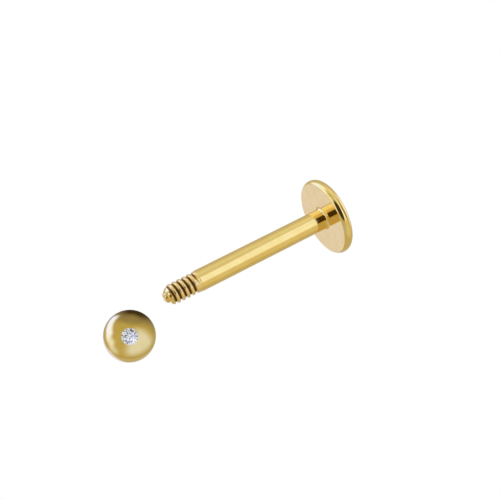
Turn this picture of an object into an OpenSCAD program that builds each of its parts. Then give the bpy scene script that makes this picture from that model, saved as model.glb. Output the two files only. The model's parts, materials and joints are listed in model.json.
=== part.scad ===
// Labret stud, unscrewed: a threaded post with a flat back disc, and a jewelled ball beside it.
// All sizes are in millimetres. The post lies on the plane z = 0, on the rim of its disc and on
// the end of its thread, with the thread towards -X. The ball stands on the same plane.

/* [Post] */
// Diameter of the plain shaft
post_d = 1.2; // [1:0.05:1.6]
// Length of the plain shaft, from the disc's face to the thread
shaft_l = 8.15; // [5:0.05:14]
// Radius of the fillet where the shaft meets the disc
root_fillet = 0.15; // [0.05:0.01:0.3]

/* [Thread] */
// Length of the thread, nose included
thread_l = 2.1; // [1.5:0.1:3]
// Distance from one crest to the next
thread_pitch = 0.3; // [0.26:0.01:0.36]
// How far the crests next to the nose lie below the shaft's surface
crest_drop = 0.03; // [0.02:0.01:0.06]
// How much wider in radius the crests are at the shoulder than at the nose
crest_taper = 0.01; // [0.005:0.001:0.015]
// Depth of the groove, from crest to root
thread_depth = 0.12; // [0.1:0.01:0.18]
// Width of the flat on a crest
crest_flat = 0.12; // [0.06:0.01:0.14]
// Width of the flat at the bottom of the groove
root_flat = 0.04; // [0.03:0.01:0.06]
// Length of the cone that leads the thread in
nose_l = 0.42; // [0.3:0.02:0.6]
// Diameter of the flat end of that cone
nose_d = 0.4; // [0.2:0.02:0.5]

/* [Disc] */
// Diameter of the back disc
disc_d = 4.5; // [3:0.1:6]
// Thickness of the back disc
disc_t = 0.65; // [0.6:0.05:1.4]
// Radius of the round that runs over the disc's edge, and that its face cuts short
edge_round = 0.38; // [0.2:0.01:0.5]

/* [Ball] */
// Diameter of the ball
ball_d = 2.6; // [2.5:0.1:5]
// Diameter of the small flat round the threaded hole
mouth_flat_d = 1.4; // [1.3:0.05:1.5]
// Depth of the threaded hole below that flat
hole_depth = 1.65; // [1:0.05:1.7]
// Length of plain bore left below the hole's thread
plain_end = 0.5; // [0.3:0.05:0.6]
// Radial play between the hole's thread and the post's
thread_play = 0.03; // [0.02:0.01:0.05]
// Width of the chamfer at the hole's mouth
mouth_chamfer = 0.05; // [0.02:0.01:0.06]

/* [Stone] */
// Diameter of the stone at its girdle
stone_d = 0.85; // [0.6:0.05:1]
// Diameter of the table, the flat top facet
table_d = 0.47; // [0.36:0.01:0.52]
// Slope of the main crown facets, in degrees
crown_angle = 34; // [28:1:38]
// Slope of the main pavilion facets, in degrees
pavilion_angle = 41; // [38:1:43]
// Thickness of the girdle
girdle_t = 0.02; // [0.01:0.005:0.04]
// How far the table lies below the ball's own round
table_sink = 0.02; // [0.01:0.005:0.04]
// How far the burnished lip reaches over the girdle
lip_w = 0.03; // [0.02:0.005:0.05]
// Gap between the stone and its seat
stone_gap = 0.015; // [0.01:0.001:0.02]

/* [Layout] */
// Distance of the ball's centre beyond the tip of the thread
ball_ahead = 2.95; // [2:0.05:6]
// Distance of the ball's centre to the side of the post, towards -Y
ball_aside = 1.8; // [0:0.05:4]
// Height of the direction in which the stone looks, in degrees above the plane
jewel_rise = 55; // [50:1:90]
// Turn of that direction round the vertical, in degrees from +X
jewel_turn = -120; // [-180:1:180]

/* [Hidden] */
$fn = 96;
gold = [0.86, 0.7, 0.36];
clear_stone = [0.9, 0.93, 0.97, 0.6];
over = 0.1;             // how far a cutter runs past the face it cuts
turn_steps = 24;        // steps in one turn of a thread
fade_turns = 0.3;       // the groove runs out over this share of a turn at the shoulder
wedge_shifts = 1.5;     // a cone shifted along its axis by this many gaps clears by one gap
facets = 8;             // main facets round the stone
star_share = 0.5;       // the star facets reach this far from the table to the girdle
lower_share = 0.25;     // the lower halves reach down to this share of the girdle's radius

// Post
post_r = post_d / 2;
crest_r = post_r - crest_drop;
root_r = crest_r - thread_depth;
groove_w = thread_pitch - crest_flat;
flank_run = (groove_w - root_flat) / 2 / thread_depth;
disc_r = disc_d / 2;
edge_r = disc_r - edge_round;
edge_high = disc_t - edge_round;
edge_low = min(edge_round, edge_high);
post_l = shaft_l + thread_l;

// How the post lies: its thread's last full crest and its disc's rounded edge touch the plane
lean_rise = edge_r - crest_r;
lean_run = edge_low + post_l - nose_l;
lean = atan(lean_rise / lean_run) + asin(edge_round / norm([lean_rise, lean_run]));
axis_height = edge_round + edge_r * cos(lean) - edge_low * sin(lean);

// Ball, in a frame of its own: the stone looks along +Z and the hole opens along -Z
ball_r = ball_d / 2;
mouth_z = -sqrt(pow(ball_r, 2) - pow(mouth_flat_d / 2, 2));
bore_r = root_r + thread_play;
major_r = crest_r + thread_play;
ridge_w = thread_pitch - root_flat;

// Stone, with its girdle at the height stone_z in the ball's frame
stone_r = stone_d / 2;
table_r = table_d / 2;
crown_h = (stone_r - table_r) * tan(crown_angle);
pavilion_h = stone_r * tan(pavilion_angle);
stone_z = ball_r - table_sink - crown_h - girdle_t / 2;

// Row frame: the origin is under the middle of everything, on the plane
ball_x = -post_l * cos(lean) - ball_ahead;
ball_y = -ball_aside;
x_low = min(ball_x - ball_r, -post_l * cos(lean));
x_high = edge_high * cos(lean) + edge_r * sin(lean) + edge_round;
y_low = min(ball_y - ball_r, -disc_r);
y_high = max(ball_y + ball_r, disc_r);
middle = [(x_low + x_high) / 2, (y_low + y_high) / 2, 0];

// A point at a radius, an angle and a height
function round_point(r, angle, z) = [r * cos(angle), r * sin(angle), z];

// The share of its full depth that a groove has at a step, when it fades over its last steps
function depth_at(step, steps, fade) = fade == 0 ? 1 : min(1, (steps - step) / fade);

// A band with four corners, wound round Z from z_from to z_to with the thread's pitch.
// Its inner side can fade out to the outer one over the last fade steps.
module wound_band(inner_r, inner_w, outer_r, outer_w, z_from, z_to, fade = 0) {
    steps = ceil((z_to - z_from) / thread_pitch * turn_steps);
    faded_r = outer_r - (outer_r - inner_r) / turn_steps;
    corners = [
        for (i = [0 : steps])
            let (
                angle = 360 * i / turn_steps,
                z = z_from + (z_to - z_from) * i / steps,
                share = depth_at(i, steps, fade),
                r = faded_r + (inner_r - faded_r) * share,
                half_in = (outer_w + (inner_w - outer_w) * share) / 2,
                half_out = outer_w / 2
            )
            each [
                round_point(r, angle, z - half_in),
                round_point(outer_r, angle, z - half_out),
                round_point(outer_r, angle, z + half_out),
                round_point(r, angle, z + half_in)
            ]
    ];
    sides = [
        for (i = [0 : steps - 1], k = [0 : 3])
            let (
                a = 4 * i + k,
                b = 4 * i + (k + 1) % 4,
                c = b + 4,
                d = a + 4
            )
            each [[a, b, c], [a, c, d]]
    ];
    last = 4 * steps;
    ends = [[3, 2, 1, 0], [last, last + 1, last + 2, last + 3]];
    polyhedron(points = corners, faces = concat(sides, ends), convexity = 10);
}

// Half section of the disc: a bar with a round end, cut short by the face. A thick disc has a
// straight stretch between the two ends of the round.
module disc_section() {
    intersection() {
        square([disc_r, disc_t]);
        union() {
            square([edge_r, disc_t]);
            translate([edge_r, edge_low]) circle(r = edge_round);
            if (edge_high > edge_low) {
                translate([edge_r, edge_high]) circle(r = edge_round);
                translate([0, edge_low]) square([disc_r, edge_high - edge_low]);
            }
        }
    }
}

// Half section of the whole post, with the radius along X and the post's own axis along Y
module post_section() {
    disc_section();
    translate([0, -shaft_l]) square([post_r, shaft_l + disc_t / 2]);
    difference() {
        translate([0, -root_fillet]) square([post_r + root_fillet, root_fillet + disc_t / 2]);
        translate([post_r + root_fillet, -root_fillet]) circle(r = root_fillet);
    }
    polygon([
        [0, -post_l],
        [nose_d / 2, -post_l],
        [crest_r, -post_l + nose_l],
        [crest_r + crest_taper, -shaft_l],
        [0, -shaft_l]
    ]);
}

// The helical groove of the thread, which starts past the nose and fades at the shoulder
module thread_groove() {
    past_crest = crest_flat / 4 / flank_run;
    wound_band(
        root_r, root_flat,
        crest_r + past_crest, groove_w + crest_flat / 2,
        -post_l - thread_pitch, -shaft_l - groove_w / 2,
        fade_turns * turn_steps
    );
}

// Post, back disc and thread, one piece of metal
module labret_post() {
    color(gold)
        translate([0, 0, axis_height] - middle)
            rotate([0, 90 - lean, 0])
                difference() {
                    rotate_extrude() post_section();
                    thread_groove();
                }
}

// Sets its children at the ball's place, turned so that their +Z is where the stone looks
module at_ball() {
    translate([ball_x, ball_y, ball_r] - middle)
        rotate([0, 90 - jewel_rise, jewel_turn])
            children();
}

// The threaded hole: a bore, the thread's groove round it and a chamfer at its mouth
module threaded_hole() {
    chamfer_r = major_r + mouth_chamfer;
    translate([0, 0, mouth_z - over]) cylinder(r = bore_r, h = hole_depth + over);
    translate([0, 0, mouth_z - over])
        cylinder(r1 = chamfer_r + over, r2 = bore_r, h = chamfer_r - bore_r + over);
    wound_band(
        bore_r - crest_flat / 2, ridge_w,
        major_r, crest_flat + thread_play,
        mouth_z - thread_pitch, mouth_z + hole_depth - plain_end
    );
}

// The stone's seat: the stone's own round outline, a gap larger, and the mouth of the lip
module stone_seat() {
    shift = wedge_shifts * stone_gap;
    wall_r = stone_r + stone_gap;
    mouth_r = stone_r - lip_w;
    half_girdle = girdle_t / 2;
    translate([0, 0, stone_z])
        rotate_extrude()
            polygon([
                [0, -half_girdle - pavilion_h - shift],
                [wall_r, -half_girdle + stone_gap * tan(pavilion_angle) - shift],
                [wall_r, half_girdle - stone_gap * tan(crown_angle) + shift],
                [mouth_r, half_girdle + lip_w * tan(crown_angle) + shift],
                [mouth_r, crown_h + over],
                [0, crown_h + over]
            ]);
}

// The ball, with its hole on one side and its seat on the other
module ball_end() {
    color(gold)
        at_ball()
            difference() {
                sphere(r = ball_r);
                translate([0, 0, mouth_z - ball_r]) cube(2 * ball_r, center = true);
                threaded_hole();
                stone_seat();
            }
}

// Round brilliant: table, stars, kites and halves above the girdle, halves and mains below it
module stone() {
    step = 360 / facets;
    half_girdle = girdle_t / 2;
    lean_in = cos(step / 2);
    star_r = table_r + (stone_r - table_r) * star_share;
    star_z = crown_h * (stone_r - star_r * lean_in) / (stone_r - table_r);
    lower_r = stone_r * lower_share;
    lower_z = pavilion_h * (1 - lower_share * lean_in);
    table = [for (k = [0 : facets - 1]) round_point(table_r, k * step, half_girdle + crown_h)];
    star = [
        for (k = [0 : facets - 1]) round_point(star_r, (k + 0.5) * step, half_girdle + star_z)
    ];
    upper = [for (k = [0 : 2 * facets - 1]) round_point(stone_r, k * step / 2, half_girdle)];
    lower = [for (k = [0 : 2 * facets - 1]) round_point(stone_r, k * step / 2, -half_girdle)];
    belly = [
        for (k = [0 : facets - 1]) round_point(lower_r, (k + 0.5) * step, -half_girdle - lower_z)
    ];
    culet = [[0, 0, -half_girdle - pavilion_h]];
    // Where each ring starts in the list of points
    s = facets;
    u = 2 * facets;
    l = 4 * facets;
    b = 6 * facets;
    c = 7 * facets;
    crown_faces = [
        for (k = [0 : facets - 1])
            let (
                next = (k + 1) % facets,
                before = (k + facets - 1) % facets,
                g = 2 * k,
                h = 2 * k + 1,
                j = (2 * k + 2) % (2 * facets)
            )
            each [
                [next, s + k, k],
                [s + k, u + g, s + before, k],
                [u + h, u + g, s + k],
                [u + j, u + h, s + k]
            ]
    ];
    pavilion_faces = [
        for (k = [0 : facets - 1])
            let (
                before = (k + facets - 1) % facets,
                g = 2 * k,
                h = 2 * k + 1,
                j = (2 * k + 2) % (2 * facets)
            )
            each [
                [b + k, l + g, l + h],
                [b + k, l + h, l + j],
                [c, b + before, l + g, b + k]
            ]
    ];
    girdle_faces = [
        for (k = [0 : 2 * facets - 1])
            let (next = (k + 1) % (2 * facets))
            [u + k, u + next, l + next, l + k]
    ];
    table_face = [[for (k = [facets - 1 : -1 : 0]) k]];
    color(clear_stone)
        at_ball()
            translate([0, 0, stone_z])
                polyhedron(
                    points = concat(table, star, upper, lower, belly, culet),
                    faces = concat(table_face, crown_faces, girdle_faces, pavilion_faces),
                    convexity = 2
                );
}

labret_post();
ball_end();
stone();
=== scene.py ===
# %% [markdown]
# A labret stud is a piercing jewel in two parts. A straight post goes through the lip, with a flat
# disc at its back, and a ball screws on to its front. Here the ball is off, so the thread shows.
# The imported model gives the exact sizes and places. This lesson turns it into something to look at:
# the same pieces at the same places, with rounded edges, cut threads, polished gold and a stone.

# %% The frame
import json
from math import asin, atan, atan2, cos, degrees, pi, radians, sin, sqrt, tan
import bpy
from mathutils import Matrix, Quaternion, Vector


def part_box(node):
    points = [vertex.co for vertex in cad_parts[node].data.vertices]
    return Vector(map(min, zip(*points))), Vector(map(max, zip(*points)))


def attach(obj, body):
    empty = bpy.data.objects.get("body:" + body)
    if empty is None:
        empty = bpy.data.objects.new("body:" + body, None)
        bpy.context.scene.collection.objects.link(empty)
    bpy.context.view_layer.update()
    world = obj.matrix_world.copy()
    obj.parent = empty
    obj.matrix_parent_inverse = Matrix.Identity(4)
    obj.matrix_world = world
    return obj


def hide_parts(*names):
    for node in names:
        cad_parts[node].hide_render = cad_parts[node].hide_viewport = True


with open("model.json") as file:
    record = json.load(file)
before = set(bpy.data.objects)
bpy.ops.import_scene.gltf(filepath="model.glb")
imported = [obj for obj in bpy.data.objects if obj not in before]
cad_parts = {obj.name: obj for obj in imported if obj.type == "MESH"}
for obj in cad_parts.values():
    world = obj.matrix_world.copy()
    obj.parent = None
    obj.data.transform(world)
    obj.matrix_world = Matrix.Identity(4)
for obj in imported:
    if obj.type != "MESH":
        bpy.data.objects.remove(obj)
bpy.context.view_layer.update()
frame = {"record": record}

# %% [markdown]
# The loaded nodes come in selected, and an operator works on all that is selected, so the first
# thing is to let go of everything. A filmic curve would dull the colours of polished gold, so the
# picture is shown with the Standard view, which leaves them as the light makes them.

# %% A clear start
bpy.ops.object.select_all(action="DESELECT")
bpy.context.scene.view_settings.view_transform = "Standard"

# %% [markdown]
# The stud is only 15 mm long, and bevels and merges have thresholds that suit larger things. So each
# piece is made upright at the world's origin, as on a workbench, with one unit for one millimetre.
# When it is done, it is turned, moved and made a thousand times smaller, and that placing is applied
# to its mesh. The places come from the mounts in the record, measured on the exact solids.

# %% Where the pieces are
MM = 0.001
mounts = {mount["name"]: mount for mount in frame["record"]["mounts"]}


def mount_place(name):
    """Middle of a mount in millimetres, and the direction that it looks in."""
    mount = mounts[name]
    return Vector(mount["pos_m"]) / MM, Vector(mount["axis"]).normalized()


def box_in_mm(node):
    """Lowest and highest corner of a CAD node in millimetres."""
    low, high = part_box(node)
    return low / MM, high / MM


shaft_middle, to_tip = mount_place("shaft")
back_middle, to_back = mount_place("back_face")
hole_middle, to_mouth = mount_place("ball_hole")
to_stone = -to_mouth
post_low, post_high = box_in_mm("labret_post")
ball_low, ball_high = box_in_mm("ball_end")
ball_middle = (ball_low + ball_high) / 2

# %% Sizes that the frame gives, in millimetres
root_fillet = 0.15
post_r = mounts["shaft"]["dims"]["r_mm"]
shaft_l = mounts["shaft"]["dims"]["length_mm"] + root_fillet
face_middle = shaft_middle + to_back * (shaft_l + root_fillet) / 2
disc_t = (back_middle - face_middle).dot(to_back)
disc_r = (post_high.y - post_low.y) / 2
ball_r = (ball_high.y - ball_low.y) / 2
print("post radius and shaft:", post_r, shaft_l)
print("disc radius and thickness:", round(disc_r, 3), round(disc_t, 3))
print("ball radius:", round(ball_r, 3), "at", [round(x, 3) for x in ball_middle])

# %% [markdown]
# Two turns bring a piece from the bench to its place. The post is tipped about Y, so that its +Z
# becomes the way to the back disc. The ball is tipped about Y and then turned about Z, so that its
# +Z becomes the way in which the stone looks.

# %% From the bench to the frame


def placing(where, ahead):
    """Turn and move that take the bench's origin to a point and its +Z to a direction."""
    tip = Matrix.Rotation(pi / 2 - asin(ahead.z), 4, "Y")
    turn = Matrix.Rotation(atan2(ahead.y, ahead.x), 4, "Z")
    return Matrix.Translation(where * MM) @ turn @ tip


def pick(piece):
    """Makes one object the only selected one, and the active one."""
    bpy.ops.object.select_all(action="DESELECT")
    piece.select_set(True)
    bpy.context.view_layer.objects.active = piece


def put(piece, place):
    """Moves a finished piece from the bench to its place, and applies that to its mesh."""
    pick(piece)
    piece.matrix_world = place @ Matrix.Scale(MM, 4)
    bpy.ops.object.transform_apply(location=True, rotation=True, scale=True)


post_place = placing(face_middle, to_back)
ball_place = placing(ball_middle, to_stone)

# %% [markdown]
# A turned part is cut on a lathe: the tool follows an outline while the work spins. An outline is
# easiest to read as a list of corners, each with its own rounding. One function replaces a corner by
# an arc, and leaves a point a hair before and behind it. Those make narrow rings beside each arc, so
# that smooth shading stays in the rounding and the flats next to it stay flat.

# %% Corners and roundings
arc_pieces = 8
hair = 0.015


def rounded(before, corner, after, radius):
    """The points that stand for a corner of an outline when it is rounded to a radius."""
    back = (before - corner).normalized()
    on = (after - corner).normalized()
    half = back.angle(on) / 2
    reach = radius / tan(half)
    centre = corner + (back + on).normalized() * radius / sin(half)
    start = corner + back * reach - centre
    swing = (pi - 2 * half) * (1 if start.cross(corner - centre) > 0 else -1)
    points = [corner + back * (reach + hair)]
    for i in range(arc_pieces + 1):
        angle = swing * i / arc_pieces
        turned = (start.x * cos(angle) - start.y * sin(angle), start.x * sin(angle) + start.y * cos(angle))
        points.append(centre + Vector(turned))
    points.append(corner + on * (reach + hair))
    return points


def outline(corners):
    """Points of an outline, from corners given as (radius, height, rounding)."""
    places = [Vector(corner[:2]) for corner in corners]
    points = [places[0]]
    for before, here, after, corner in zip(places, places[1:], places[2:], corners[1:]):
        points += rounded(before, here, after, corner[2]) if corner[2] else [here]
    return points + [places[-1]]


# %% [markdown]
# In Blender the outline is drawn by extruding a single vertex from point to point. The Spin operator
# then turns it round Z, and merging the doubles closes the seam and the poles. Spin can leave a shape
# inside out, so the normals are recalculated after that.

# %% Drawing and spinning
spin_steps = 192
weld = 0.0001


def draw(name, points):
    """Draws a line of edges through points of (radius, height), and leaves it in edit mode."""
    bpy.ops.mesh.primitive_plane_add(size=0.1)
    piece = bpy.context.object
    piece.name = name
    bpy.ops.object.mode_set(mode="EDIT")
    bpy.ops.mesh.merge(type="CENTER")
    bpy.ops.transform.translate(value=(points[0].x, 0, points[0].y))
    for here, there in zip(points, points[1:]):
        step = (there.x - here.x, 0, there.y - here.y)
        bpy.ops.mesh.extrude_region_move(TRANSFORM_OT_translate={"value": step})
    bpy.ops.mesh.select_all(action="SELECT")
    return piece


def turn_on_lathe(name, points):
    """Spins an outline round Z into a closed shape."""
    piece = draw(name, points)
    bpy.ops.mesh.spin(steps=spin_steps, angle=2 * pi, center=(0, 0, 0), axis=(0, 0, 1))
    bpy.ops.mesh.select_all(action="SELECT")
    bpy.ops.mesh.remove_doubles(threshold=weld)
    bpy.ops.mesh.normals_make_consistent(inside=False)
    bpy.ops.object.mode_set(mode="OBJECT")
    return piece


# %% [markdown]
# The post, its disc and its thread are one piece of metal. The outline runs from the tip of the
# thread to the middle of the back. The thread is still a plain blank here, a little thinner than the
# shaft, with a rounded cone at its tip that helps the ball on. The disc's edge is one large round, so
# that it is kind to the lip, and the flat face cuts it short. A much smaller round breaks the corner
# between the two, and shows as a thin line of light.

# %% The post's blank
thread_l = 2.1
crest_r = post_r - 0.03
crest_taper = 0.01
nose_l = 0.42
nose_r = 0.2
tip_round = 0.25
nose_round = 0.5
shoulder_round = 0.012
edge_round = 0.38
corner_round = 0.05
post_l = shaft_l + thread_l
edge_middle = Vector((disc_r - edge_round, disc_t - edge_round))
meeting = asin((edge_middle.y - corner_round) / (edge_round - corner_round))
corner_middle = edge_middle + (edge_round - corner_round) * Vector((cos(meeting), -sin(meeting)))


def arc(middle, radius, first, last, pieces):
    """Points of an arc between two angles, in degrees from straight outwards towards the back."""
    angles = [radians(first + (last - first) * i / pieces) for i in range(pieces + 1)]
    return [middle + radius * Vector((cos(angle), sin(angle))) for angle in angles]


post_outline = outline([
    (0, -post_l, 0),
    (nose_r, -post_l, tip_round),
    (crest_r, -post_l + nose_l, nose_round),
    (crest_r + crest_taper, -shaft_l, 0),
    (post_r, -shaft_l, shoulder_round),
    (post_r, 0, root_fillet),
    (corner_middle.x - hair, 0, 0),
])
post_outline += arc(corner_middle, corner_round, -90, -degrees(meeting), arc_pieces)
post_outline += arc(edge_middle, edge_round, -degrees(meeting), 90, 3 * arc_pieces)[1:]
post_outline += [Vector((edge_middle.x - hair, disc_t)), Vector((0, disc_t))]
post = turn_on_lathe("LabretPost", post_outline)
print("post before its thread:", len(post.data.polygons), "faces")

# %% [markdown]
# A thread is a groove along a helix. A die cuts it in the post, and a tap cuts its mate in the ball.
# The groove's section is half of a hexagon with the edges of its mouth flared, so that the crests
# come out rounded. It is given by its depth below the wall and its width.

# %% The section of the groove
thread_pitch = 0.3
thread_depth = 0.12
crest_flat = 0.12
root_flat = 0.04
crest_round = 0.05
past_wall = 0.06


def groove_section(wall_r, bottom_r):
    """Closed section of a groove that is cut from a wall down to a bottom radius."""
    inwards = 1 if wall_r > bottom_r else -1
    depth = abs(wall_r - bottom_r)
    flank = (thread_pitch - crest_flat - root_flat) / 2 / depth
    tilt = atan(flank)
    flare = root_flat / 2 + (depth - crest_round) * flank + crest_round / cos(tilt)
    half = [(depth, root_flat / 2)]
    for i in range(arc_pieces + 1):
        angle = tilt + (pi / 2 - tilt) * i / arc_pieces
        half.append((crest_round * (1 - sin(angle)), flare - crest_round * cos(angle)))
    half.append((-past_wall, flare))
    both = half + [(below, -height) for below, height in reversed(half)]
    return [Vector((wall_r - inwards * below, height)) for below, height in both]


# %% [markdown]
# The Screw modifier sweeps the section round Z while it climbs, which makes a long curled cutter.
# On the post its first part is drawn inwards to follow the cone, and its last part is moved out of
# the metal bit by bit, as a die is opened, so that the groove runs out at the shoulder. The cutter's
# open ends are filled, and a Boolean modifier takes it away.

# %% Cutting a thread
turn_steps = 96
nose_share = 0.75


def curl(name, section, low, high, last_angle):
    """A cutter: the section swept from one height to another, ending at an angle round Z."""
    turns = (high - low) / thread_pitch
    steps = round(turns * turn_steps)
    cutter = draw(name, section + section[:1])
    bpy.ops.mesh.remove_doubles(threshold=weld)
    bpy.ops.transform.translate(value=(0, 0, low))
    bpy.ops.object.mode_set(mode="OBJECT")
    sweep = cutter.modifiers.new("Sweep", "SCREW")
    sweep.angle = 2 * pi * turns
    sweep.screw_offset = high - low
    sweep.steps = sweep.render_steps = steps
    bpy.ops.object.modifier_apply(modifier="Sweep")
    cutter.rotation_euler.z = last_angle - 2 * pi * turns
    bpy.ops.object.transform_apply(location=False, rotation=True, scale=False)
    return cutter


def follow_nose(cutter):
    """Moves the cutter's first part inwards, so that its groove goes on along the cone."""
    slope = (crest_r - nose_r) / nose_l
    for point in cutter.data.vertices:
        above = max(0, point.co.z + post_l)
        inwards = nose_share * slope * max(0, nose_l - above)
        flat = Vector((point.co.x, point.co.y, 0))
        point.co -= flat.normalized() * inwards


def run_out(cutter, corners, share_of_turn, depth):
    """Moves the cutter's last part outwards, so that its groove ends gently."""
    points = cutter.data.vertices
    last = len(points) // corners - 1
    fade = share_of_turn * turn_steps
    for point in points:
        share = max(0, 1 - (last - point.index // corners) / fade)
        flat = Vector((point.co.x, point.co.y, 0))
        point.co += flat.normalized() * depth * share**2


def cut(piece, cutter):
    """Takes a closed cutter away from a piece."""
    pick(cutter)
    bpy.ops.object.mode_set(mode="EDIT")
    bpy.ops.mesh.select_all(action="SELECT")
    bpy.ops.mesh.fill_holes(sides=0)
    bpy.ops.mesh.select_all(action="SELECT")
    bpy.ops.mesh.normals_make_consistent(inside=False)
    bpy.ops.object.mode_set(mode="OBJECT")
    pick(piece)
    away = piece.modifiers.new("Cut", "BOOLEAN")
    away.operation = "DIFFERENCE"
    away.solver = "EXACT"
    away.object = cutter
    bpy.ops.object.modifier_apply(modifier="Cut")
    bpy.data.objects.remove(cutter)


# %% The post's thread
thread_end = radians(240)
run_out_share = 0.3
clear_by = 0.02
root_r = crest_r - thread_depth
groove = groove_section(crest_r + crest_taper / 2, root_r)
mouth_w = 2 * max(point.y for point in groove)
die = curl("Die", groove, -post_l - thread_pitch, -shaft_l - mouth_w / 2, thread_end)
follow_nose(die)
run_out(die, len(groove), run_out_share, thread_depth + clear_by)
cut(post, die)
print("post with its thread:", len(post.data.polygons), "faces")

# %% [markdown]
# The finished post is smoothed where its faces meet at less than 30 degrees, which keeps the edges
# of the groove crisp. Then it goes to its place and stands for the CAD node.

# %% The post in its place
smooth_below = radians(30)


def finish_piece(piece, place, node):
    """Smooths a piece, puts it in its place and lets it stand for its CAD node."""
    pick(piece)
    bpy.ops.object.shade_smooth_by_angle(angle=smooth_below)
    put(piece, place)
    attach(piece, "root")
    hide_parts(node)


finish_piece(post, post_place, "labret_post")
print("post in its place: leaning by", round(degrees(asin(to_back.z)), 2), "degrees")

# %% [markdown]
# The ball starts as a sphere with its poles on the stone's axis. A plane cuts it flat where its
# threaded hole opens, and another takes off the cap over the stone. From each open ring the wall goes
# on inwards: extruded, moved and scaled, ring by ring, along an outline of its own.

# %% The ball's blank
mouth_flat_r = 0.7
stone_r = 0.425
lip_w = 0.03
lip_round = 0.012
mouth_z = -sqrt(ball_r**2 - mouth_flat_r**2)
lip_r = stone_r - lip_w

bpy.ops.mesh.primitive_uv_sphere_add(segments=spin_steps, ring_count=spin_steps // 2, radius=ball_r)
ball = bpy.context.object
ball.name = "BallEnd"


def slice_off(height, facing):
    """Cuts the shape open at a height, and leaves the new ring selected."""
    bpy.ops.mesh.select_all(action="SELECT")
    bpy.ops.mesh.bisect(plane_co=(0, 0, height), plane_no=(0, 0, facing), clear_outer=True)


def carry_on(ring_r, ring_z, points):
    """Extrudes the selected ring along points of (radius, height), and closes the last one."""
    radius = ring_r
    height = ring_z
    for point in points:
        grow = max(point.x, weld) / radius
        bpy.ops.mesh.extrude_region_move(TRANSFORM_OT_translate={"value": (0, 0, point.y - height)})
        bpy.ops.transform.resize(value=(grow, grow, 1), center_override=(0, 0, point.y))
        radius *= grow
        height = point.y
    bpy.ops.mesh.merge(type="CENTER")


# %% The threaded hole
hole_depth = 1.65
plain_end = 0.5
thread_play = 0.03
mouth_chamfer = 0.05
mouth_round = 0.01
bottom_round = 0.03
bore_r = root_r + thread_play
major_r = crest_r + thread_play
chamfer_r = major_r + mouth_chamfer

bpy.ops.object.mode_set(mode="EDIT")
slice_off(mouth_z, -1)
hole = outline([
    (mouth_flat_r, mouth_z, 0),
    (chamfer_r, mouth_z, mouth_round),
    (bore_r, mouth_z + chamfer_r - bore_r, mouth_round),
    (bore_r, mouth_z + hole_depth, bottom_round),
    (0, mouth_z + hole_depth, 0),
])
carry_on(mouth_flat_r, mouth_z, [Vector((mouth_flat_r - hair, mouth_z))] + hole[1:])

# %% The stone's seat
stone_gap = 0.015
crown_angle = radians(34)
pavilion_angle = radians(41)
girdle_t = 0.02
table_r = 0.235
table_sink = 0.02
crown_h = (stone_r - table_r) * tan(crown_angle)
pavilion_h = stone_r * tan(pavilion_angle)
stone_z = ball_r - table_sink - crown_h - girdle_t / 2
seat_play = 1.5 * stone_gap
wall_r = stone_r + stone_gap
seat_low = stone_z - girdle_t / 2 - seat_play
seat_high = stone_z + girdle_t / 2 + seat_play
edge_r = lip_r + lip_round
edge_z = sqrt(ball_r**2 - edge_r**2)

slice_off(edge_z, 1)
seat = outline([
    (edge_r, edge_z, 0),
    (lip_r, edge_z, lip_round / 2),
    (lip_r, seat_high + lip_w * tan(crown_angle), 0),
    (wall_r, seat_high - stone_gap * tan(crown_angle), 0),
    (wall_r, seat_low + stone_gap * tan(pavilion_angle), 0),
    (0, seat_low - pavilion_h, 0),
])
carry_on(edge_r, edge_z, seat[2:])
bpy.ops.mesh.select_all(action="SELECT")
bpy.ops.mesh.remove_doubles(threshold=weld)
bpy.ops.mesh.normals_make_consistent(inside=False)
bpy.ops.object.mode_set(mode="OBJECT")

# %% The ball's thread
tapped = groove_section(bore_r, major_r)
tap = curl("Tap", tapped, mouth_z - thread_pitch, mouth_z + hole_depth - plain_end, 0)
cut(ball, tap)
print("ball:", len(ball.data.polygons), "faces")
finish_piece(ball, ball_place, "ball_end")

# %% [markdown]
# A round brilliant is ground from a short round rod, one flat at a time, each at its own angle and
# turn. Bisect does just that: a plane cuts the stone, the outside goes, and the cut is filled. Each
# plane goes through three points of the cut: corners of the table, points of the stars, the girdle
# and the culet. Eight turns of each kind give 57 facets in all.

# %% The stone
mains = 8
step = 2 * pi / mains
star_share = 0.5
lower_share = 0.25
half_girdle = girdle_t / 2
star_r = table_r + (stone_r - table_r) * star_share
star_z = crown_h * (stone_r - star_r * cos(step / 2)) / (stone_r - table_r)
belly_r = stone_r * lower_share
belly_z = pavilion_h * (1 - lower_share * cos(step / 2))


def at(radius, turn, height):
    """A point at a radius, a turn in steps of a main facet, and a height."""
    return Vector((radius * cos(turn * step), radius * sin(turn * step), height))


def grind(first, second, third):
    """Cuts the stone along the plane through three points, and keeps the side of its middle."""
    facing = (second - first).cross(third - first)
    if facing.dot(first) < 0:
        facing.negate()
    bpy.ops.mesh.select_all(action="SELECT")
    bpy.ops.mesh.bisect(plane_co=first, plane_no=facing, clear_outer=True, use_fill=True)


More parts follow.
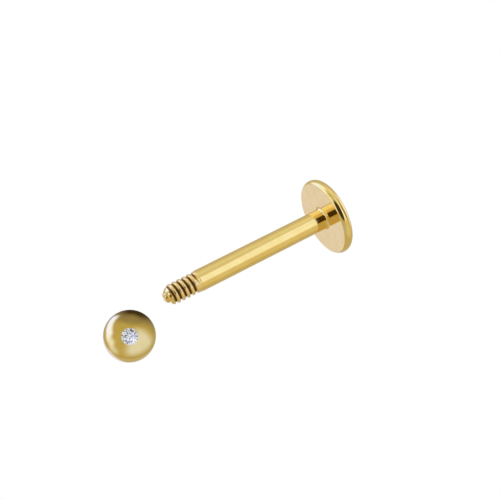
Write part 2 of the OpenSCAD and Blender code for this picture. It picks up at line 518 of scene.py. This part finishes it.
bpy.ops.mesh.primitive_cylinder_add(vertices=96, radius=stone_r, depth=2 * (pavilion_h + crown_h))
stone = bpy.context.object
stone.name = "Stone"
bpy.ops.object.mode_set(mode="EDIT")
crown = half_girdle + crown_h
culet = Vector((0, 0, -half_girdle - pavilion_h))
grind(at(table_r, 0, crown), at(table_r, 1, crown), at(table_r, 2, crown))
for k in range(mains):
    girdle = at(stone_r, k, half_girdle)
    star = at(star_r, k + 0.5, half_girdle + star_z)
    middle = at(stone_r, k + 0.5, half_girdle)
    keel = at(stone_r, k, -half_girdle)
    belly = at(belly_r, k + 0.5, -half_girdle - belly_z)
    under = at(stone_r, k + 0.5, -half_girdle)
    grind(at(table_r, k, crown), star, at(star_r, k - 0.5, half_girdle + star_z))
    grind(at(table_r, k, crown), at(table_r, k + 1, crown), star)
    grind(star, girdle, middle)
    grind(star, at(stone_r, k + 1, half_girdle), middle)
    grind(culet, belly, at(belly_r, k - 0.5, -half_girdle - belly_z))
    grind(belly, keel, under)
    grind(belly, at(stone_r, k + 1, -half_girdle), under)
bpy.ops.object.mode_set(mode="OBJECT")
print("stone:", len(stone.data.polygons), "facets with the girdle's")
pick(stone)
bpy.ops.object.shade_flat()
put(stone, placing(ball_middle + to_stone * stone_z, to_stone))
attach(stone, "root")
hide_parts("stone")

# %% [markdown]
# Shader maths is easier to read as sums than as a web of nodes. A small class wraps a socket, and
# its operators add the Math nodes. A second class makes every other node from its type, its settings
# and what goes into its sockets.

# %% Sums on sockets


class Value:
    """One output socket that can be used in a sum."""

    def __init__(self, board, socket):
        self.board = board
        self.socket = socket

    def math(self, operation, first, second):
        """Adds a Math node for two values or numbers."""
        node = self.board.node("ShaderNodeMath", {"operation": operation}, {0: first, 1: second})
        return node["Value"]

    def __add__(self, other):
        return self.math("ADD", self, other)

    def __radd__(self, other):
        return self.math("ADD", other, self)

    def __sub__(self, other):
        return self.math("SUBTRACT", self, other)

    def __rsub__(self, other):
        return self.math("SUBTRACT", other, self)

    def __mul__(self, other):
        return self.math("MULTIPLY", self, other)

    def __rmul__(self, other):
        return self.math("MULTIPLY", other, self)


class Board:
    """The node tree of one material or world."""

    def __init__(self, owner):
        owner.use_nodes = True
        self.tree = owner.node_tree
        self.tree.nodes.clear()

    def node(self, kind, settings=None, sockets=None):
        """Adds a node, sets it up, fills or links its sockets, and gives its outputs by name."""
        node = self.tree.nodes.new(kind)
        for name, setting in (settings or {}).items():
            setattr(node, name, setting)
        for name, value in (sockets or {}).items():
            if isinstance(value, Value):
                self.tree.links.new(value.socket, node.inputs[name])
            else:
                node.inputs[name].default_value = value
        return {output.name: Value(self, output) for output in node.outputs if output.enabled}

    def vector(self, operation, first, second):
        """Adds a Vector Math node for two vectors."""
        sockets = {0: first, 1: second}
        return self.node("ShaderNodeVectorMath", {"operation": operation}, sockets)

    def blend(self, share, first, second):
        """Adds a Mix node for two colours."""
        settings = {"data_type": "RGBA", "clamp_result": False}
        return self.node("ShaderNodeMix", settings, {0: share, 6: first, 7: second})["Result"]

    def ramp(self, value, low, high):
        """Adds a Map Range node that takes low to 0 and high to 1, with soft ends."""
        sockets = {"Value": value, "From Min": low, "From Max": high}
        return self.node("ShaderNodeMapRange", {"interpolation_type": "SMOOTHSTEP"}, sockets)["Result"]

    def arc_cosine(self, value):
        """Adds the arc cosine of a value, in degrees."""
        return self.node("ShaderNodeMath", {"operation": "ARCCOSINE"}, {0: value})["Value"] * degrees(1)

    def size(self, value):
        """Adds the absolute value of a value."""
        return self.node("ShaderNodeMath", {"operation": "ABSOLUTE"}, {0: value})["Value"]

    def noise(self, where, scale, detail=2.0):
        """Adds a Noise Texture and gives its factor."""
        sockets = {"Vector": where, "Scale": scale, "Detail": detail}
        return self.node("ShaderNodeTexNoise", {}, sockets)["Fac"]

    def stretched(self, where, scale):
        """Adds a Mapping node that squeezes a pattern by a scale for each axis."""
        return self.node("ShaderNodeMapping", {}, {"Vector": where, "Scale": scale})["Vector"]


# %% [markdown]
# Each material works in the bench's own millimetres, where its piece stood upright on the origin. A
# Mapping node turns the object's coordinates back to that place. There a turned piece is easy to
# describe: Z runs along its axis, and the distance from the axis is its radius.

# %% Coordinates of the bench


def on_bench(board, place):
    """Bench coordinates in millimetres, the height along the axis and the distance from it."""
    back = place.inverted()
    where = board.node("ShaderNodeMapping", {"vector_type": "POINT"}, {
        "Vector": board.node("ShaderNodeTexCoord")["Object"],
        "Location": back.translation / MM,
        "Rotation": back.to_euler(),
        "Scale": (1 / MM, 1 / MM, 1 / MM),
    })["Vector"]
    parts = board.node("ShaderNodeSeparateXYZ", {}, {"Vector": where})
    flat = board.vector("MULTIPLY", where, (1, 1, 0))["Vector"]
    radius = board.node("ShaderNodeVectorMath", {"operation": "LENGTH"}, {0: flat})["Value"]
    return where, parts["Z"], radius


# %% [markdown]
# Gold plating takes its colour from a thin hard layer on polished steel. A mirror would look like a
# drawing, so three kinds of marks soften it. The turning and buffing leave very fine rings round the
# axis, the plating has faint clouds of tone, and handling leaves hairlines in all directions. They
# change the roughness a little and tilt the surface by fractions of a degree.

# %% Polished gold
bright_gold = (1.0, 0.73, 0.23, 1)
deep_gold = (0.96, 0.69, 0.2, 1)
rubbed_gold = (1.0, 0.78, 0.46, 1)
# Painted shade: a dark brown that darkens the thread's grooves and the ball's threaded hole.
painted_shade_brown = (0.2, 0.085, 0.02, 1)


def polish(board, where, along, radius, rings, rub):
    """Tone, roughness and tilt of a buffed surface with rings round its axis."""
    clouds = board.noise(where, 1.7, 3.0)
    tone = board.blend(board.ramp(clouds, 0.35, 0.65), bright_gold, deep_gold)
    mark_at = board.node("ShaderNodeCombineXYZ", {}, {0: along * rings, 1: radius * rings})["Vector"]
    marks = board.noise(mark_at, 1.0, 2.0)
    hair_1 = board.noise(board.stretched(where, (9, 70, 40)), 1.0, 1.0)
    hair_2 = board.noise(board.stretched(where, (60, 12, 80)), 1.0, 1.0)
    hairs = board.ramp(hair_1 * hair_2, 0.3, 0.42)
    rough = rub + clouds * 0.03 + marks * 0.05 + hairs * 0.04
    return tone, rough, marks + hairs * 0.15


def finish_gold(board, tone, rough, relief, height):
    """The metal's shader, with its relief as a bump of a given height in millimetres."""
    tilt = board.node("ShaderNodeBump", {}, {
        "Strength": 1.0, "Distance": height * MM, "Height": relief,
    })["Normal"]
    shader = board.node("ShaderNodeBsdfPrincipled", {}, {
        "Base Color": tone, "Metallic": 1.0, "Roughness": rough, "Normal": tilt,
    })
    board.node("ShaderNodeOutputMaterial", {}, {"Surface": shader["BSDF"]})


def dress(piece, material):
    """Gives a piece its one material."""
    piece.data.materials.clear()
    piece.data.materials.append(material)


# %% [markdown]
# On the post the thread needs more. Its grooves are painted dark brown as shade, and made rougher,
# while its crests are rubbed a little paler by every ball that was screwed on. Both follow the
# radius, and only below the shoulder.

# %% The post's gold
post_marks = 0.00012
post_gold = bpy.data.materials.new("PostGold")
board = Board(post_gold)
where, along, radius = on_bench(board, post_place)
tone, rough, relief = polish(board, where, along, radius, 45, 0.05)
in_thread = board.ramp(along, -shaft_l + 0.02, -shaft_l - 0.06)
on_nose = board.ramp(along, -post_l + nose_l, -post_l + nose_l - 0.08)
# Painted shade: the grooves are coloured dark brown to stand for shade, and also made rougher.
dull_shaded_groove = board.ramp(radius, root_r + 0.085, root_r + 0.015) * in_thread * (1 - on_nose)
on_crest = board.ramp(radius, crest_r - 0.035, crest_r - 0.01) * in_thread
tone = board.blend(on_crest * 0.25, tone, rubbed_gold)
tone = board.blend(dull_shaded_groove, tone, painted_shade_brown)
finish_gold(board, tone, rough + dull_shaded_groove * 0.3 + on_crest * 0.06, relief, post_marks)
dress(post, post_gold)
print("post's gold:", len(post_gold.node_tree.nodes), "nodes")

# %% [markdown]
# The ball is buffed in one go with its stone set, so its rings run round the stone. The lip over the
# stone is burnished bright, and the threaded hole behind is painted dark brown as shade and made
# rougher.

# %% The ball's gold
ball_marks = 0.0002
ball_gold = bpy.data.materials.new("BallGold")
board = Board(ball_gold)
where, along, radius = on_bench(board, ball_place)
tone, rough, relief = polish(board, where, along, radius, 30, 0.07)
behind = board.ramp(along, mouth_z / 2, mouth_z / 2 - 0.1)
# Painted shade: the threaded hole is coloured dark brown to stand for shade, and also made rougher.
dull_shaded_hole = board.ramp(radius, major_r + 0.02, major_r - 0.03) * behind
on_lip = board.ramp(radius, stone_r + 0.01, stone_r - 0.02) * board.ramp(along, seat_high, seat_high + 0.05)
tone = board.blend(dull_shaded_hole, tone, painted_shade_brown)
tone = board.blend(on_lip, tone, rubbed_gold)
finish_gold(board, tone, rough + dull_shaded_hole * 0.25, relief, ball_marks)
dress(ball, ball_gold)
print("ball's gold:", len(ball_gold.node_tree.nodes), "nodes")

# %% [markdown]
# The stone is clear and colourless, and bends light as strongly as the stones that stand in for
# diamonds. All of its looks come from its facets and from what they show of the light.

# %% Clear stone
clear = bpy.data.materials.new("ClearStone")
board = Board(clear)
where = on_bench(board, ball_place)[0]
dust = board.ramp(board.noise(where, 9.0, 4.0), 0.6, 0.8)
shader = board.node("ShaderNodeBsdfPrincipled", {}, {
    "Base Color": (0.985, 0.99, 1.0, 1),
    "Roughness": dust * 0.04,
    "IOR": 2.15,
    "Transmission Weight": 1.0,
})
board.node("ShaderNodeOutputMaterial", {}, {"Surface": shader["BSDF"]})
dress(stone, clear)

# %% [markdown]
# Polished metal has no look of its own: it shows what stands round it. So the light here is a tent,
# made in the world's shader from soft-edged panels over a middling ground. A panel has a direction,
# a size, a softness and a colour. Bright panels are bluish and dim ones yellowish, as on a bright day
# by a window, which makes the highlights creamy and the shades deep. Angles are in degrees: a heading
# runs from +X towards +Y, and a rise is above the floor, or below it where it is negative.

# %% Panels and spots


def tinted(strength, tint):
    """A light's colour from its strength and its tint."""
    return tuple(strength * part for part in tint) + (1,)


def bearings(board, toward):
    """Heading and rise of a direction, in degrees."""
    parts = board.node("ShaderNodeSeparateXYZ", {}, {"Vector": toward})
    turn = board.node("ShaderNodeMath", {"operation": "ARCTAN2"}, {0: parts["Y"], 1: parts["X"]})["Value"]
    return turn * degrees(1), 90 - board.arc_cosine(parts["Z"])


def hang(board, heading, rise, light, panels):
    """Lays soft-edged panels over the light so far, one after the other."""
    for heading_at, rise_at, half_w, half_h, soft, strength, tint in panels:
        sockets = {0: heading - heading_at, 1: 180.0, 2: -180.0}
        off = board.node("ShaderNodeMath", {"operation": "WRAP"}, sockets)["Value"]
        beside = board.ramp(board.size(off), half_w + soft / 2, half_w - soft / 2)
        above = board.ramp(board.size(rise - rise_at), half_h + soft / 2, half_h - soft / 2)
        light = board.blend(beside * above, light, tinted(strength, tint))
    return light


def spot(board, toward, light, heading_at, rise_at, size, soft, strength, tint):
    """Lays a soft-edged round over the light so far."""
    flat = cos(radians(rise_at))
    middle = (flat * cos(radians(heading_at)), flat * sin(radians(heading_at)), sin(radians(rise_at)))
    apart = board.arc_cosine(board.vector("DOT_PRODUCT", toward, middle)["Value"])
    return board.blend(board.ramp(apart, size + soft / 2, size - soft / 2), light, tinted(strength, tint))


# %% [markdown]
# The post lies in the large tent. A tall softbox on the camera's right draws the bright line along
# the shaft, and panels on the far side light its upper edge, the thread's flanks and the disc's rim.
# Three dark rounds that run together are the opening that the camera looks through. They show as the
# dark lens on the rim and as the brown patch at the shaft's root.

# %% The light tent
white = (1.0, 1.3, 3.6)
pearl = (1.0, 1.2, 2.2)
cream = (1.0, 1.13, 1.7)
blush = (1.0, 1.06, 1.75)
plain = (1.0, 1.03, 1.1)
warm = (1.0, 0.95, 0.82)
amber = (1.0, 0.93, 0.6)
brown = (1.0, 0.75, 0.4)
panels = [
    # heading, rise, half width, half height, softness, strength, tint
    (60, 55, 50, 40, 30, 0.76, plain),
    (52, 18, 34, 14, 16, 0.6, plain),
    (48, 50, 14, 12, 14, 0.92, plain),
    (120, 16, 34, 30, 22, 0.98, pearl),
    (118, 3, 18, 14, 12, 0.97, white),
    (178, 32, 26, 22, 18, 0.92, cream),
    (165, -28, 18, 22, 16, 0.8, cream),
    (120, -63, 46, 18, 12, 0.78, blush),
    (290, 4, 28, 26, 24, 0.71, warm),
    (0, 90, 180, 19, 10, 0.68, plain),
    (330, 74, 50, 7, 7, 0.97, cream),
    (292, 52, 17, 26, 16, 0.98, cream),
    (326, 38, 12, 18, 12, 0.26, brown),
    (0, 8, 20, 26, 14, 0.95, cream),
    (242, -6, 18, 14, 12, 0.5, cream),
]
openings = [
    # heading, rise, size, softness
    (226, 50, 28, 12),
    (236, 58, 19, 6),
    (246, 42, 20, 6),
]
opening_light = 0.05
world = bpy.data.worlds.new("Tent")
bpy.context.scene.world = world
board = Board(world)
toward = board.node("ShaderNodeTexCoord")["Generated"]
heading, rise = bearings(board, toward)
light = hang(board, heading, rise, tinted(0.55, warm), panels)
for opening in openings:
    light = spot(board, toward, light, *opening, opening_light, brown)

# %% [markdown]
# A clear stone looks white with dark flecks where most of what it gathers is bright and a little is
# dark. So rays that come out of the stone meet a light of their own, a bright sky with a few dark
# stripes. The Light Path node tells them from the rays that a metal mirrors.

# %% Light for the stone
sky = [
    # heading, rise, half width, half height, softness, strength, tint
    (30, 35, 22, 30, 8, 0.05, plain),
    (200, 55, 20, 14, 8, 0.12, plain),
    (290, 25, 14, 20, 8, 0.1, plain),
    (120, 60, 16, 10, 8, 0.2, plain),
    (245, 60, 30, 9, 8, 0.15, plain),
]
stone_light = hang(board, heading, rise, tinted(1.0, plain), sky)
from_stone = board.node("ShaderNodeLightPath")["Is Transmission Ray"]
light = board.blend(from_stone, light, stone_light)
background = board.node("ShaderNodeBackground", {}, {"Color": light, "Strength": 1.0})
board.node("ShaderNodeOutputWorld", {}, {"Surface": background["Background"]})
print("tent:", len(panels), "panels,", len(world.node_tree.nodes), "nodes")

# %% [markdown]
# A ball mirrors nearly everything round it at once, so it is the hardest thing to light. Photographers
# put small cards close to it. Here a little tent of its own stands over the ball: a sphere that only
# its own reflections meet, dark behind the ball and creamy on the camera's right. Three cards on the
# left draw the crescent, white at its top and yellower where it runs down. Seen from outside, the
# tent's wall is clear: a back face glows, and a front face lets light through. Towards the floor the
# wall fades out.

# %% The ball's own tent
tent_r = 3.0
cards = [
    # heading, rise, half width, half height, softness, strength, tint
    (0, -50, 180, 22, 20, 0.42, amber),
    (-80, 25, 45, 40, 40, 0.76, pearl),
    (55, 30, 62, 52, 50, 0.28, warm),
    (50, 5, 30, 32, 36, 0.05, brown),
    (190, -17, 16, 13, 22, 0.7, cream),
    (168, 1, 20, 14, 22, 0.86, pearl),
    (129, 10, 34, 16, 18, 0.97, white),
]
bpy.ops.mesh.primitive_uv_sphere_add(segments=64, ring_count=32, radius=tent_r)
tent = bpy.context.object
tent.name = "BallTent"
put(tent, Matrix.Translation(ball_middle * MM))
cloth = bpy.data.materials.new("TentCloth")
board = Board(cloth)
where = board.node("ShaderNodeTexCoord")["Object"]
spoke = board.vector("SUBTRACT", where, tuple(ball_middle * MM))["Vector"]
toward = board.node("ShaderNodeVectorMath", {"operation": "NORMALIZE"}, {0: spoke})["Vector"]
heading, rise = bearings(board, toward)
light = hang(board, heading, rise, tinted(0.52, amber), cards)
shown = board.ramp(rise, -44, -28) * board.node("ShaderNodeNewGeometry")["Backfacing"]
glow = board.node("ShaderNodeEmission", {}, {"Color": light, "Strength": 1.0})["Emission"]
clear_wall = board.node("ShaderNodeBsdfTransparent")["BSDF"]
wall = board.node("ShaderNodeMixShader", {}, {0: shown, 1: clear_wall, 2: glow})["Shader"]
board.node("ShaderNodeOutputMaterial", {}, {"Surface": wall})
dress(tent, cloth)
cloth.cycles.emission_sampling = "NONE"
tent.visible_camera = False
tent.visible_diffuse = False
tent.visible_transmission = False
print("ball's tent:", len(cards), "cards")

# %% [markdown]
# The stud lies on a plain white floor with a white wall all round it, like paper that glows by
# itself. Only the camera sees it: what the metal mirrors is the tents.

# %% Floor
floor_r = 0.4
wall_h = 0.6
bpy.ops.mesh.primitive_circle_add(vertices=96, radius=floor_r, fill_type="TRIFAN")
floor = bpy.context.object
floor.name = "Floor"
bpy.ops.object.mode_set(mode="EDIT")
bpy.ops.mesh.select_all(action="SELECT")
bpy.ops.mesh.region_to_loop()
bpy.ops.mesh.extrude_region_move(TRANSFORM_OT_translate={"value": (0, 0, wall_h)})
bpy.ops.object.mode_set(mode="OBJECT")
paper = bpy.data.materials.new("Paper")
board = Board(paper)
glow = board.node("ShaderNodeEmission", {}, {"Color": (1, 1, 1, 1), "Strength": 1.0})["Emission"]
board.node("ShaderNodeOutputMaterial", {}, {"Surface": glow})
dress(floor, paper)
paper.cycles.emission_sampling = "NONE"
floor.visible_glossy = False
floor.visible_diffuse = False
floor.visible_transmission = False
floor.visible_shadow = False

# %% [markdown]
# The camera stands where the photographer's stood, above and in front of the stud's thread, and is
# rolled a little. It looks at a point of the floor, given in millimetres, from a distance.

# %% Camera
aim = Vector((2.932, 1.623, 0))
distance = 46.64
camera_heading = radians(227.33)
camera_rise = radians(48.65)
roll = radians(13.46)
away = Vector((
    cos(camera_heading) * cos(camera_rise),
    sin(camera_heading) * cos(camera_rise),
    sin(camera_rise),
))
bpy.ops.object.camera_add(location=(aim + away * distance) * MM)
camera = bpy.context.object
camera.rotation_mode = "QUATERNION"
camera.rotation_quaternion = (-away).to_track_quat("-Z", "Y") @ Quaternion((0, 0, 1), roll)
camera.data.lens = 58.34
camera.data.clip_start = 0.001
camera.data.clip_end = 10
bpy.context.scene.camera = camera
print("camera at", [round(x / MM, 1) for x in camera.location], "mm")
